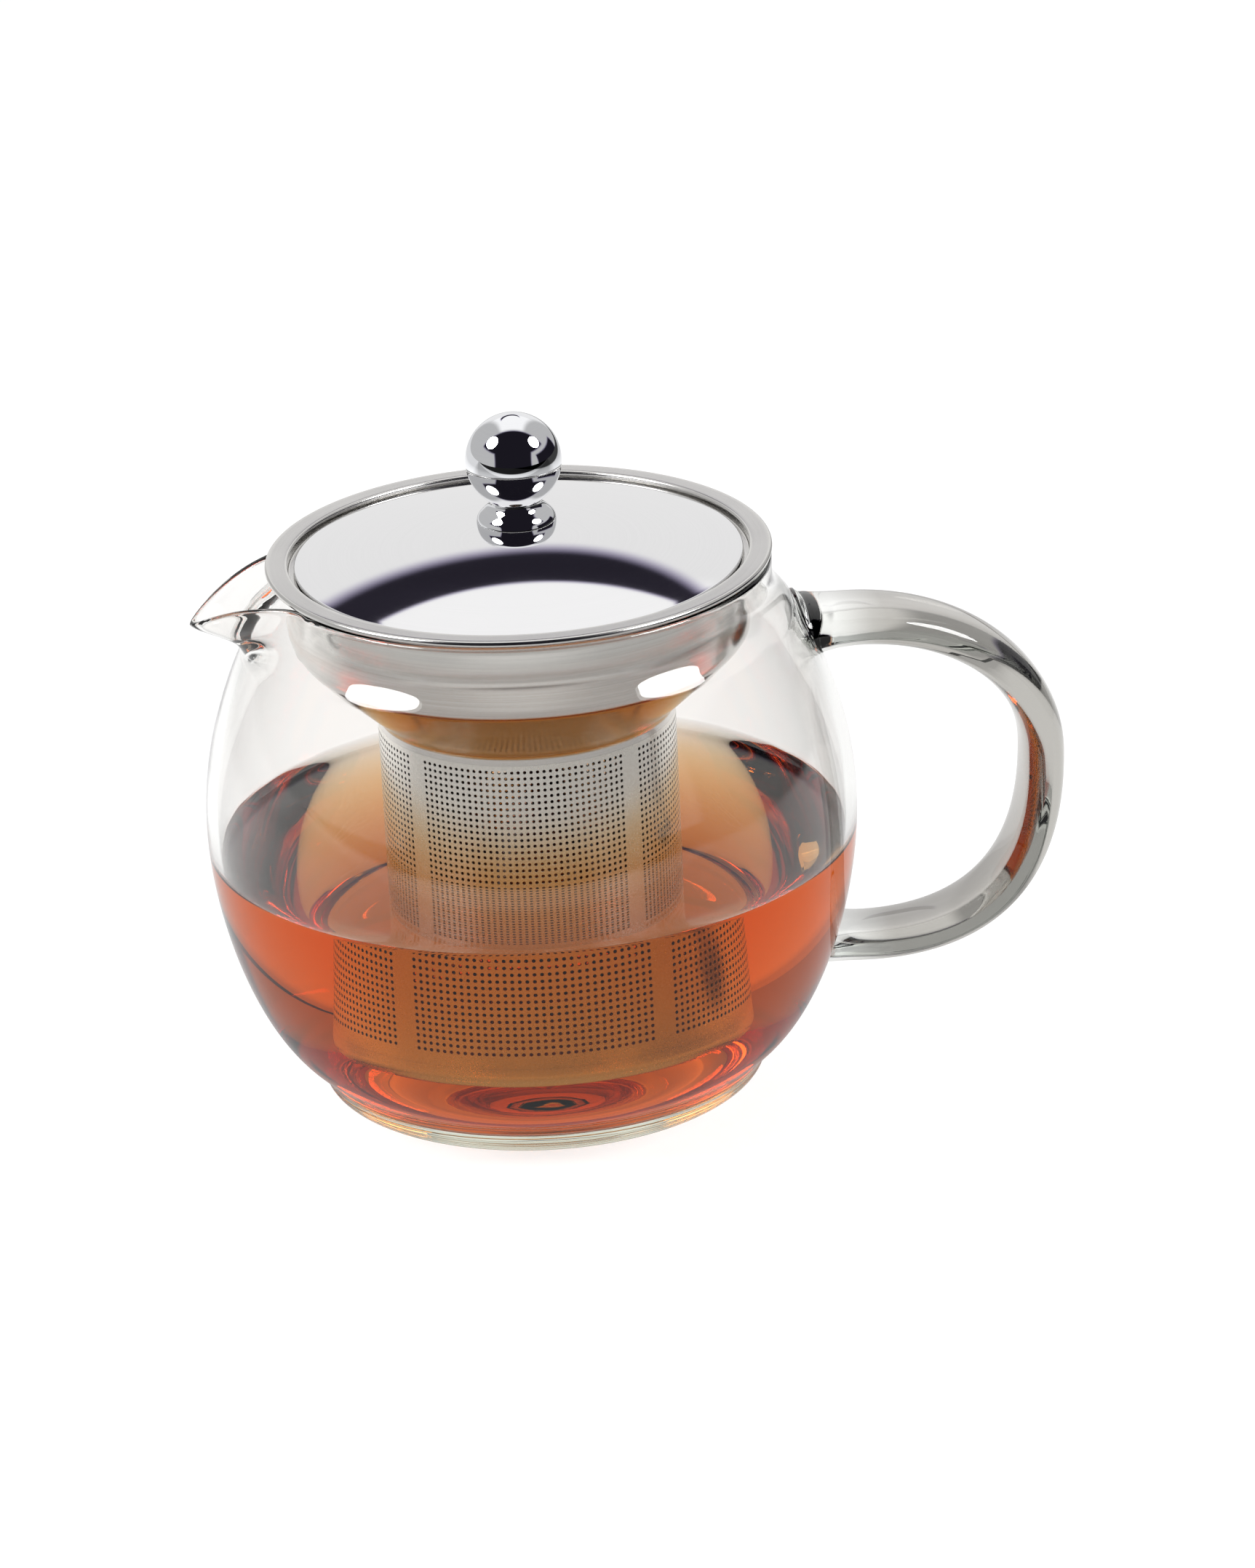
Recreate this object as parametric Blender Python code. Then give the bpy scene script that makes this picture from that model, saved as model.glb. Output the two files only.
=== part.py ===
"""Glass teapot with a lift-out steel infuser and a lid with a ball knob.

Metres, +Z up. The origin is the centre of the foot, on the surface that the pot stands on.
The handle is at +X and the spout at -X. The infuser hangs in the jug's mouth by its flange, and
the lid rests on a ledge inside the infuser's collar.
"""
import math

import bmesh
import bpy
from mathutils import Vector
from mathutils.bvhtree import BVHTree

# ---- driving dimensions -------------------------------------------------------------------
GAP = 0.0003                 # clearance between neighbouring pieces

GLASS = 0.0022               # wall of the blown jug
FLOOR = 0.0046               # thickness of the jug's floor
FOOT_RADIUS = 0.0448         # outside of the foot
FOOT_TOP = 0.0060            # crease between the foot and the belly
FOOT_ROUND = 0.0022          # rounding of the foot's bottom edge
BELLY_RADIUS = 0.06497       # widest outside radius
BELLY_Z = 0.0553             # its height
SHOULDER = (0.0546, 0.0945)  # where the belly turns into the neck (radius, height)
NECK_RADIUS = 0.0498         # outside of the neck, just under the rim
RIM_Z = 0.1086               # top of the glass rim

SPOUT_REACH = 0.0162         # how far the tip stands out from the rim
SPOUT_DROP = 0.0068          # how far the tip hangs below the rim
SPOUT_HALF_ANGLE = math.radians(18.0)
SPOUT_ROOT_Z = 0.0930        # height at which the spout leaves the neck

HANDLE_REACH = 0.1039        # centre line of the handle at its farthest point
HANDLE_MID_Z = 0.0584
HANDLE_TOP_Z = 0.0885        # height of the upper joint
HANDLE_LOW_Z = 0.0217        # height of the lower joint
HANDLE_HALF_THICK = 0.00425
HANDLE_HALF_WIDTH_TOP = 0.0099
HANDLE_HALF_WIDTH_LOW = 0.0073
HANDLE_SQUARENESS = 2.4      # exponent of the superellipse section; 2 is an ellipse

SHEET = 0.0006               # pressed steel of the collar
FLANGE_RADIUS = 0.0500
FLANGE_TOP = RIM_Z + GAP + 0.0013
RECESS_RADIUS = 0.0455       # inside of the recess that the lid drops into
LEDGE_Z = 0.1083             # the lid's seat
WALL_RADIUS = 0.0443         # outside of the collar's wall
CONE_TOP = 0.0920            # where the wall turns into the cone
CONE_LOW = 0.0782            # where the cone turns into the neck of the basket

SLEEVE_RADIUS = 0.0296       # outside of the perforated basket
SLEEVE_SHEET = 0.0005
SLEEVE_TOP = 0.0761
CUP_TOP = 0.0190             # top edge of the basket's bottom cup
CUP_LOW = 0.0150             # underside of the basket
CUP_ROUND = 0.0026

LID_RADIUS = 0.0443
LID_SHEET = 0.0007
LID_CROWN = 0.0034           # rise of the dome
SKIRT_RADIUS = 0.0428        # outside of the locating ring under the lid
SKIRT_DEPTH = 0.0070

BALL_RADIUS = 0.0095
BALL_Z = 0.1291
KNOB_BASE_RADIUS = 0.0079
KNOB_FOOT_RADIUS = 0.0062
KNOB_NECK_RADIUS = 0.0053

SCREW_RADIUS = 0.0020
SCREW_HEAD_RADIUS = 0.0040
SCREW_HEAD = 0.0022
SCREW_REACH = 0.0075         # length of shank inside the knob
WASHER_RADIUS = 0.0062
WASHER_THICK = 0.0008

JUG_STEPS = 64               # facets round the jug
ROUND_STEPS = 48             # facets round the infuser and the lid
SMALL_STEPS = 24             # facets round the knob and its fastener
HANDLE_STATIONS = 28         # sections along the handle
HANDLE_SIDES = 18            # facets round each section


# ---- outlines -----------------------------------------------------------------------------
def arc(centre, radius, start_deg, end_deg, steps):
    """Points on an arc in the (radius, height) plane, both ends included."""
    points = []
    for i in range(steps + 1):
        a = math.radians(start_deg + (end_deg - start_deg) * i / steps)
        points.append((centre[0] + radius * math.cos(a), centre[1] + radius * math.sin(a)))
    return points


def bezier(p0, p1, p2, p3, steps):
    """Points on a cubic Bezier curve, both ends included."""
    points = []
    for i in range(steps + 1):
        t = i / steps
        a, b, c, d = (1 - t) ** 3, 3 * (1 - t) ** 2 * t, 3 * (1 - t) * t * t, t ** 3
        points.append(tuple(a * p0[k] + b * p1[k] + c * p2[k] + d * p3[k] for k in range(2)))
    return points


def fillet(before, corner, after, radius, steps):
    """An arc of the given radius that rounds off one corner of an outline."""
    c = Vector(corner)
    u = (Vector(before) - c).normalized()
    v = (Vector(after) - c).normalized()
    half = u.angle(v) / 2
    centre = c + (u + v).normalized() * radius / math.sin(half)
    start = c + u * radius / math.tan(half) - centre
    end = c + v * radius / math.tan(half) - centre
    turn = start.angle(end)
    side = 1 if start.x * end.y - start.y * end.x > 0 else -1
    points = []
    for i in range(steps + 1):
        a = side * turn * i / steps
        x = start.x * math.cos(a) - start.y * math.sin(a)
        y = start.x * math.sin(a) + start.y * math.cos(a)
        points.append((centre.x + x, centre.y + y))
    return points


def offset(points, distance):
    """The outline moved sideways, to the left of its direction of travel."""
    moved = []
    last = len(points) - 1
    for i, (x, y) in enumerate(points):
        ax, ay = points[max(i - 1, 0)]
        bx, by = points[min(i + 1, last)]
        length = math.hypot(bx - ax, by - ay)
        moved.append((x - (by - ay) / length * distance, y + (bx - ax) / length * distance))
    return moved


# ---- mesh helpers -------------------------------------------------------------------------
def material(name, colour, roughness, metallic=0.0, transmission=0.0, ior=1.45):
    """A Principled material."""
    mat = bpy.data.materials.new(name)
    mat.use_nodes = True
    mat.diffuse_color = (*colour, 1.0)
    bsdf = mat.node_tree.nodes["Principled BSDF"]
    bsdf.inputs["Base Color"].default_value = (*colour, 1.0)
    bsdf.inputs["Roughness"].default_value = roughness
    bsdf.inputs["Metallic"].default_value = metallic
    bsdf.inputs["Transmission Weight"].default_value = transmission
    bsdf.inputs["IOR"].default_value = ior
    return mat


def add_object(name, bm, mat, crease_deg=35.0):
    """Turn a bmesh into a smooth-shaded object of the scene."""
    bmesh.ops.recalc_face_normals(bm, faces=bm.faces)
    mesh = bpy.data.meshes.new(name)
    bm.to_mesh(mesh)
    bm.free()
    mesh.materials.append(mat)
    mesh.shade_smooth()
    mesh.set_sharp_from_angle(angle=math.radians(crease_deg))
    obj = bpy.data.objects.new(name, mesh)
    bpy.context.scene.collection.objects.link(obj)
    return obj


def turned_bmesh(outline, steps, closed):
    """Spin an outline of (radius, height) points about Z. A closed outline gives a ring."""
    bm = bmesh.new()
    verts = [bm.verts.new((r, 0.0, z)) for r, z in outline]
    edges = [bm.edges.new((a, b)) for a, b in zip(verts, verts[1:])]
    if closed:
        edges.append(bm.edges.new((verts[-1], verts[0])))
    bmesh.ops.spin(bm, geom=verts + edges, cent=(0, 0, 0), axis=(0, 0, 1),
                   angle=2 * math.pi, steps=steps, use_merge=True)
    bmesh.ops.remove_doubles(bm, verts=bm.verts, dist=1e-7)
    return bm


def turned(name, outline, steps, mat, closed=True):
    """A turned piece as an object."""
    return add_object(name, turned_bmesh(outline, steps, closed), mat)


# ---- the glass jug ------------------------------------------------------------------------
def jug_foot():
    """Rounded bottom edge of the foot."""
    return arc((FOOT_RADIUS - FOOT_ROUND, FOOT_ROUND), FOOT_ROUND, -90, 0, 4)


def jug_wall():
    """Outside of the jug from the crease above the foot, over the belly, up to the rim."""
    crease = (FOOT_RADIUS + 0.0016, FOOT_TOP)
    belly = (BELLY_RADIUS, BELLY_Z)
    neck_end = (NECK_RADIUS, RIM_Z - GLASS / 2)
    low = bezier(crease, (0.0573, 0.0118), (BELLY_RADIUS, 0.0375), belly, 7)
    high = bezier(belly, (BELLY_RADIUS, 0.0679), (0.0619, 0.0803), SHOULDER, 6)
    neck = bezier(SHOULDER, (0.0523, 0.0990), (NECK_RADIUS, 0.1015), neck_end, 5)
    return low + high[1:] + neck[1:]


def jug_inner():
    """Inside of the jug, from the rim down to the edge of the flat floor."""
    wall = offset(jug_wall(), GLASS)
    heel = wall[0]
    sweep = bezier((heel[0] - 0.0066, FLOOR), (heel[0] - 0.0040, FLOOR),
                   (heel[0] - 0.0022, heel[1] - 0.0016), heel, 4)
    return list(reversed(sweep + wall[1:]))


def spout_reach(angle):
    """How far the rim is drawn out at an angle from the spout's centre line, from 0 to 1."""
    base = NECK_RADIUS
    tip = base + SPOUT_REACH
    ax, ay = base * math.cos(SPOUT_HALF_ANGLE), base * math.sin(SPOUT_HALF_ANGLE)
    nx, ny = ay, tip - ax
    rounded = math.sqrt(angle * angle + math.radians(1.5) ** 2) - math.radians(1.5)
    reach = tip * nx / (nx * math.cos(rounded) + ny * math.sin(rounded)) - base
    soft = 0.0008
    eased = (reach + math.sqrt(reach * reach + 4 * soft * soft)) / 2
    top = (SPOUT_REACH + math.sqrt(SPOUT_REACH ** 2 + 4 * soft * soft)) / 2
    return (max(0.0, eased / top - 0.02) / 0.98) ** 0.8


def draw_spout(bm):
    """Pull the rim outwards and down into a pouring lip on the -X side."""
    for v in bm.verts:
        if v.co.z <= SPOUT_ROOT_Z:
            continue
        angle = math.atan2(v.co.y, -v.co.x)
        if abs(angle) > math.radians(50):
            continue
        share = spout_reach(angle)
        t = min(1.0, (v.co.z - SPOUT_ROOT_Z) / (RIM_Z - SPOUT_ROOT_Z))
        outward = SPOUT_REACH * share * t * t * (3 - 2 * t)
        radius = math.hypot(v.co.x, v.co.y)
        v.co.x *= (radius + outward) / radius
        v.co.y *= (radius + outward) / radius
        v.co.z -= SPOUT_DROP * share ** 1.9 * t


def build_jug(mat):
    """The blown glass jug with its foot, floor, neck and pulled spout."""
    outer = jug_foot() + jug_wall()
    rim = arc((NECK_RADIUS - GLASS / 2, RIM_Z - GLASS / 2), GLASS / 2, 0, 180, 4)[1:]
    inner = jug_inner()[1:]
    outline = [(0.0, 0.0)] + outer + rim + inner + [(0.0, FLOOR)]
    bm = turned_bmesh(outline, JUG_STEPS, closed=False)
    draw_spout(bm)
    return add_object("glass_jug", bm, mat)


# ---- the glass handle ---------------------------------------------------------------------
def handle_path():
    """Centre line of the handle in the XZ plane, from the upper joint to the lower one."""
    top = bezier((0.0520, HANDLE_TOP_Z - 0.0006), (0.0800, 0.0940),
                 (HANDLE_REACH, 0.0782), (HANDLE_REACH, HANDLE_MID_Z), HANDLE_STATIONS // 2)
    low = bezier((HANDLE_REACH, HANDLE_MID_Z), (HANDLE_REACH, 0.0200),
                 (0.0770, 0.0166), (0.0520, HANDLE_LOW_Z + 0.0006), HANDLE_STATIONS // 2)
    return top + low[1:]


def flare(distance):
    """Swelling of the handle where it is welded on, against the distance from its end."""
    return 1.0 + 0.22 * math.exp(-(distance / 0.0045) ** 2)


def build_handle(mat, jug):
    """A solid glass strap, cut back to clear the jug by the assembly gap."""
    path = handle_path()
    jug_tree = BVHTree.FromPolygons([v.co for v in jug.data.vertices],
                                    [p.vertices[:] for p in jug.data.polygons])
    bm = bmesh.new()
    rings = []
    last = len(path) - 1
    for i, (x, z) in enumerate(path):
        ax, az = path[max(i - 1, 0)]
        bx, bz = path[min(i + 1, last)]
        along = Vector((bx - ax, 0, bz - az)).normalized()
        outward = Vector((-along.z, 0, along.x))
        share = i / last
        width = HANDLE_HALF_WIDTH_TOP + (HANDLE_HALF_WIDTH_LOW - HANDLE_HALF_WIDTH_TOP) * share
        near = jug_tree.find_nearest(Vector((x, 0, z)))[3]
        swell = flare(near) if x < 0.075 else 1.0
        ring = []
        for k in range(HANDLE_SIDES):
            a = 2 * math.pi * k / HANDLE_SIDES
            c = math.copysign(abs(math.cos(a)) ** (2 / HANDLE_SQUARENESS), math.cos(a))
            s = math.copysign(abs(math.sin(a)) ** (2 / HANDLE_SQUARENESS), math.sin(a))
            point = Vector((x, 0, z)) + outward * HANDLE_HALF_THICK * swell * c
            ring.append(bm.verts.new(point + Vector((0, width * swell * s, 0))))
        rings.append(ring)
    for first, second in zip(rings, rings[1:]):
        for k in range(HANDLE_SIDES):
            n = (k + 1) % HANDLE_SIDES
            bm.faces.new((first[k], first[n], second[n], second[k]))
    bm.faces.new(rings[0])
    bm.faces.new(list(reversed(rings[-1])))
    handle = add_object("glass_handle", bm, mat)
    cut = handle.modifiers.new("clear_of_jug", "BOOLEAN")
    cut.operation = "DIFFERENCE"
    cut.solver = "EXACT"
    cut.object = jug_cutter()
    return handle


def jug_cutter():
    """The jug's outside plus the gap, as a closed cutter that isn't part of the object."""
    grown = offset(jug_wall(), -GAP)
    outline = [(0.0, grown[0][1])] + grown + [(0.0, grown[-1][1])]
    cutter = add_object("jug_cutter", turned_bmesh(outline, JUG_STEPS, closed=False), None)
    cutter.hide_render = True
    cutter.display_type = "WIRE"
    return cutter


# ---- the infuser --------------------------------------------------------------------------
def build_collar(mat):
    """The pressed funnel that hangs in the jug's mouth by its flange."""
    outer_low = (SLEEVE_RADIUS, CONE_LOW)
    cone_top = (WALL_RADIUS, CONE_TOP)
    inner_wall = WALL_RADIUS - SHEET
    inner_low = (SLEEVE_RADIUS - SLEEVE_SHEET, CONE_LOW + 0.0002)
    inner_cone = (inner_wall, CONE_TOP + 0.0003)
    recess_out = RECESS_RADIUS + SHEET
    outline = []
    # outside, from the flange's edge down to the basket
    outline += arc((FLANGE_RADIUS - 0.00065, FLANGE_TOP - 0.00065), 0.00065, 90, -90, 4)
    outline += [(recess_out, RIM_Z + GAP)]
    outline += [(recess_out, LEDGE_Z - SHEET)]
    outline += [(WALL_RADIUS, LEDGE_Z - SHEET)]
    outline += fillet((WALL_RADIUS, LEDGE_Z), cone_top, outer_low, 0.0035, 4)
    outline += fillet(cone_top, outer_low, (SLEEVE_RADIUS, SLEEVE_TOP), 0.0022, 3)
    outline += [(SLEEVE_RADIUS, SLEEVE_TOP + GAP)]
    # inside, from the basket back up to the flange
    outline += [(SLEEVE_RADIUS - SLEEVE_SHEET, SLEEVE_TOP + GAP)]
    low_end = (SLEEVE_RADIUS - SLEEVE_SHEET, SLEEVE_TOP)
    outline += fillet(low_end, inner_low, inner_cone, 0.0027, 3)
    outline += fillet(inner_low, inner_cone, (inner_wall, LEDGE_Z), 0.0029, 4)
    outline += [(inner_wall, LEDGE_Z)]
    outline += [(RECESS_RADIUS, LEDGE_Z)]
    outline += arc((RECESS_RADIUS + 0.0005, FLANGE_TOP - 0.0005), 0.0005, 180, 90, 2)
    return turned("infuser_collar", outline, ROUND_STEPS, mat)


def build_sleeve(mat):
    """The rolled basket wall. Its holes are finer than this solid shows."""
    inside = SLEEVE_RADIUS - SLEEVE_SHEET
    low = CUP_TOP + GAP
    outline = [(SLEEVE_RADIUS, SLEEVE_TOP), (SLEEVE_RADIUS, low),
               (inside, low), (inside, SLEEVE_TOP)]
    return turned("infuser_sleeve", outline, ROUND_STEPS, mat)


def build_cup(mat):
    """The pressed bottom of the basket."""
    centre = (SLEEVE_RADIUS - CUP_ROUND, CUP_LOW + CUP_ROUND)
    inside = SLEEVE_RADIUS - SLEEVE_SHEET
    inner_round = CUP_ROUND - SLEEVE_SHEET
    outline = [(SLEEVE_RADIUS, CUP_TOP)]
    outline += arc(centre, CUP_ROUND, 0, -90, 4)
    outline += [(0.0, CUP_LOW), (0.0, CUP_LOW + SLEEVE_SHEET)]
    outline += arc(centre, inner_round, -90, 0, 4)
    outline += [(inside, CUP_TOP)]
    return turned("infuser_cup", outline, ROUND_STEPS, mat)


# ---- the lid ------------------------------------------------------------------------------
def dome(radius):
    """Height of the lid's top face at a distance from the axis."""
    edge = LEDGE_Z + GAP + LID_SHEET
    return edge + LID_CROWN * (1 - (radius / LID_RADIUS) ** 2)


def build_lid(mat):
    """The domed steel lid, with a hole for the knob's screw."""
    hole = SCREW_RADIUS + GAP
    rings = 5
    radii = [hole + (LID_RADIUS - LID_SHEET / 2 - hole) * i / rings for i in range(rings + 1)]
    top = [(r, dome(r)) for r in radii]
    edge_z = dome(LID_RADIUS - LID_SHEET / 2) - LID_SHEET / 2
    edge = arc((LID_RADIUS - LID_SHEET / 2, edge_z), LID_SHEET / 2, 60, -60, 2)
    under = [(r, dome(r) - LID_SHEET) for r in reversed(radii)]
    return turned("lid_disc", top + edge + under, ROUND_STEPS, mat)


def build_skirt(mat):
    """The locating ring under the lid, which drops inside the collar."""
    inside = SKIRT_RADIUS - SHEET
    top = dome(SKIRT_RADIUS) - LID_SHEET - GAP
    low = top - SKIRT_DEPTH
    outline = [(SKIRT_RADIUS, top), (SKIRT_RADIUS, low + 0.0006),
               (SKIRT_RADIUS - 0.0004, low), (inside, low), (inside, top)]
    return turned("lid_skirt", outline, ROUND_STEPS, mat)


def build_knob(mat):
    """A ball on a waisted foot, with a blind hole for its screw."""
    foot_z = dome(0.0) + GAP
    waist = (KNOB_NECK_RADIUS, 0.1209)
    join = 55.0
    ball_join = (BALL_RADIUS * math.cos(math.radians(-join)),
                 BALL_Z + BALL_RADIUS * math.sin(math.radians(-join)))
    widest = (KNOB_BASE_RADIUS, foot_z + 0.0036)
    bore = SCREW_RADIUS + GAP
    bore_top = foot_z + SCREW_REACH + 0.0008
    outline = arc((0.0, BALL_Z), BALL_RADIUS, 90, -join, 12)
    outline += bezier(ball_join, (ball_join[0] - 0.0004, ball_join[1] - 0.0003),
                      (waist[0], waist[1] + 0.0001), waist, 2)[1:]
    outline += bezier(waist, (waist[0], waist[1] - 0.0016),
                      (widest[0], widest[1] + 0.0022), widest, 5)[1:]
    outline += bezier(widest, (widest[0], widest[1] - 0.0020),
                      (KNOB_FOOT_RADIUS + 0.0008, foot_z), (KNOB_FOOT_RADIUS, foot_z), 4)[1:]
    outline += [(bore, foot_z), (bore, bore_top), (0.0, bore_top + 0.0010)]
    outline[0] = (0.0, BALL_Z + BALL_RADIUS)
    return turned("knob", outline, SMALL_STEPS, mat, closed=False)


def build_fastener(screw_mat, washer_mat):
    """The screw that holds the knob, and the washer under the lid."""
    under_lid = dome(SCREW_RADIUS) - LID_SHEET
    washer_top = dome(WASHER_RADIUS) - LID_SHEET - GAP
    washer_low = washer_top - WASHER_THICK
    hole = SCREW_RADIUS + GAP
    outline = [(hole, washer_top), (WASHER_RADIUS, washer_top),
               (WASHER_RADIUS, washer_low), (hole, washer_low)]
    turned("knob_washer", outline, SMALL_STEPS, washer_mat)
    head_top = washer_low - GAP
    head_low = head_top - SCREW_HEAD
    tip = under_lid + LID_SHEET + GAP + SCREW_REACH
    outline = [(0.0, tip), (SCREW_RADIUS - 0.0004, tip), (SCREW_RADIUS, tip - 0.0005),
               (SCREW_RADIUS, head_top), (SCREW_HEAD_RADIUS, head_top)]
    outline += bezier((SCREW_HEAD_RADIUS, head_low + 0.0012), (SCREW_HEAD_RADIUS, head_low + 0.0005),
                      (SCREW_HEAD_RADIUS - 0.0009, head_low), (SCREW_HEAD_RADIUS - 0.0018, head_low), 3)
    outline += [(0.0, head_low)]
    turned("knob_screw", outline, SMALL_STEPS, screw_mat, closed=False)


# ---- assembly -----------------------------------------------------------------------------
def main():
    for obj in list(bpy.data.objects):
        bpy.data.objects.remove(obj)
    glass = material("clear_glass", (0.93, 0.96, 0.94), 0.0, transmission=1.0, ior=1.47)
    handle_glass = material("handle_glass", (0.92, 0.95, 0.93), 0.0, transmission=1.0, ior=1.47)
    brushed = material("brushed_steel", (0.66, 0.65, 0.63), 0.24, metallic=1.0)
    etched = material("etched_steel", (0.62, 0.61, 0.59), 0.32, metallic=1.0)
    cup_steel = material("pressed_steel", (0.63, 0.62, 0.60), 0.28, metallic=1.0)
    polished = material("polished_steel", (0.78, 0.78, 0.79), 0.06, metallic=1.0)
    skirt_steel = material("satin_steel", (0.64, 0.63, 0.62), 0.30, metallic=1.0)
    chrome = material("chrome", (0.82, 0.83, 0.85), 0.03, metallic=1.0)
    screw_steel = material("screw_steel", (0.58, 0.58, 0.58), 0.30, metallic=1.0)
    washer_steel = material("washer_steel", (0.60, 0.60, 0.60), 0.35, metallic=1.0)
    jug = build_jug(glass)
    build_handle(handle_glass, jug)
    build_collar(brushed)
    build_sleeve(etched)
    build_cup(cup_steel)
    build_lid(polished)
    build_skirt(skirt_steel)
    build_knob(chrome)
    build_fastener(screw_steel, washer_steel)


main()
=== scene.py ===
"""Looks of the glass teapot with its infuser: fine meshes, materials, tea, studio and camera.

Metres, +Z up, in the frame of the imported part. The handle is at +X and the spout at -X.
"""
import math

import bmesh
import bpy
import numpy as np
from mathutils import Matrix, Vector


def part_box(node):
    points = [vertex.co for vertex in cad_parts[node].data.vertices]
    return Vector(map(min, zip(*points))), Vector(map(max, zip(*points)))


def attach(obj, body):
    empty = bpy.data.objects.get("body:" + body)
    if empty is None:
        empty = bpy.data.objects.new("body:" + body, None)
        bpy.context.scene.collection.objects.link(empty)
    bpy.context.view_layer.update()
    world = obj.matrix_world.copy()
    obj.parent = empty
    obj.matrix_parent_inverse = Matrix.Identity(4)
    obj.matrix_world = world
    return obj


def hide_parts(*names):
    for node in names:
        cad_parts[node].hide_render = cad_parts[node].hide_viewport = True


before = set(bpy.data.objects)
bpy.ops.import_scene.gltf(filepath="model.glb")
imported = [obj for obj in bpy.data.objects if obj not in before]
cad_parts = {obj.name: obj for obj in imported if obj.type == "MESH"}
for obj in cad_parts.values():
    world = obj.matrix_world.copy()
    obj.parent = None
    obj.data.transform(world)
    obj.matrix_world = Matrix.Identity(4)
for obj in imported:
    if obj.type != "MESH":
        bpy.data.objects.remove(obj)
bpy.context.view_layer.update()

# ---- sizes, read from the frame -----------------------------------------------------------
jug_low, jug_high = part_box("glass_jug")
handle_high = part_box("glass_handle")[1]
collar_low, collar_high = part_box("infuser_collar")
sleeve_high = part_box("infuser_sleeve")[1]
cup_low, cup_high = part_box("infuser_cup")
lid_low, lid_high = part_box("lid_disc")
skirt_low, skirt_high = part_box("lid_skirt")
knob_low, knob_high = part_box("knob")

GLASS = 0.0022                       # wall of the jug
FLOOR = 0.0040                       # its floor
RIM_Z = jug_high.z
BELLY_RADIUS = jug_high.y
BELLY_Z = 0.0553
NECK_RADIUS = 0.0498
FOOT_RADIUS = 0.0448
FOOT_TOP = 0.0060
FOOT_ROUND = 0.0022
CREASE = (FOOT_RADIUS + 0.0016, FOOT_TOP)  # the wall starts here, above the foot
SHOULDER = (0.0543, 0.0956)
NECK_LOW_Z = 0.1040                  # the neck is straight from here up
SPOUT_REACH = -jug_low.x - NECK_RADIUS
SPOUT_DROP = 0.0068
SPOUT_HALF_ANGLE = math.radians(18.0)
SPOUT_ROOT_Z = 0.0930
SPOUT_ZONE = math.radians(50.0)      # the rim is round beyond this angle
SPOUT_TIP_ROUND = math.radians(1.5)
SPOUT_BLEND = 0.0008                 # softness of the corners where the rim turns into the lip
SPOUT_CUT = 0.02                     # share below which the blend's tail is cut off

HANDLE_HALF_THICK = 0.00425
HANDLE_REACH = handle_high.x - HANDLE_HALF_THICK
HANDLE_MID_Z = 0.0584
HANDLE_TOP_Z = 0.0885
HANDLE_LOW_Z = 0.0217
HANDLE_HALF_WIDTH_TOP = 0.0099
HANDLE_HALF_WIDTH_LOW = 0.0073
HANDLE_SQUARENESS = 2.4
HANDLE_SIDES = 56
HANDLE_JOINT = 0.018                 # length of the stretch with close stations at each end
FLARE = 0.13                         # growth of the handle where it meets the wall
FLARE_REACH = 0.0046                 # and how far from the wall it fades
WELD_TOP_OUTER = 0.0014              # fillet radii of the two joints
WELD_TOP_INNER = 0.0007
WELD_LOW = 0.0005
LIFT = 0.22                          # extra growth of the outer face at the upper joint
LIFT_REACH = 0.0050
WAIST = 0.02                         # depth of the ring pressed in next to the upper joint
WAIST_GAP = 0.0036                   # its distance from the wall
WAIST_WIDTH = 0.0012
SIDE_GROWTH = 0.12                   # how much of the growth widens the strap too

SHEET = 0.0006
FLANGE_RADIUS = collar_high.x
FLANGE_TOP = collar_high.z
FLANGE_LOW = FLANGE_TOP - 0.0013
RECESS_RADIUS = 0.0455
LEDGE_Z = 0.1083
WALL_RADIUS = 0.0443
CONE_TOP = 0.0920
CONE_LOW = 0.0782

SLEEVE_RADIUS = sleeve_high.x
SLEEVE_SHEET = 0.0005
SLEEVE_TOP = collar_low.z
SLEEVE_LOW = cup_high.z
CUP_LOW = cup_low.z
CUP_ROUND = 0.0026

LID_RADIUS = lid_high.x
LID_SHEET = 0.0007
LID_EDGE_Z = lid_low.z + LID_SHEET
LID_CROWN = 0.0034
SCREW_HOLE = 0.0023                  # its radius, in the lid and in the knob

BALL_RADIUS = 0.0095
BALL_Z = knob_high.z - BALL_RADIUS
KNOB_FOOT_Z = knob_low.z
KNOB_BASE_RADIUS = 0.0079
KNOB_FOOT_RADIUS = 0.0062
KNOB_NECK_RADIUS = 0.0053

TEA_LEVEL = 0.0505
TEA_RISE = 0.0011                    # how far the tea climbs the glass
TEA_RISE_WIDTH = 0.0016              # how far out from the glass the rise fades
GLASS_INDEX = 1.47                   # indices of refraction
TEA_INDEX = 1.333
HOLE_COLUMNS = 34                    # per panel
BLANK_COLUMNS = 3                    # plain strip between two panels
PANELS = 4
HOLE_ROWS = 42
HOLE_PITCH_Z = 0.001295
HOLE_RADIUS = 0.00035
TOP_ROW_Z = 0.0750
PANEL_AZIMUTH = math.radians(259.6)  # middle of one panel

CREASE_DEG = 32.0                    # faces that meet at more than this keep a sharp edge
TURNS = 288                          # facets round the large turned pieces
SMALL_TURNS = 256
KNOB_TURNS = 160
SEAM = 0.00002                       # gap between the pieces of the basket


# ---- outlines -----------------------------------------------------------------------------
def arc(centre, radius, start_deg, end_deg, steps):
    """Points on an arc in the (radius, height) plane, both ends included."""
    angles = np.radians(np.linspace(start_deg, end_deg, steps + 1))
    return [(centre[0] + radius * math.cos(a), centre[1] + radius * math.sin(a)) for a in angles]


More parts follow.
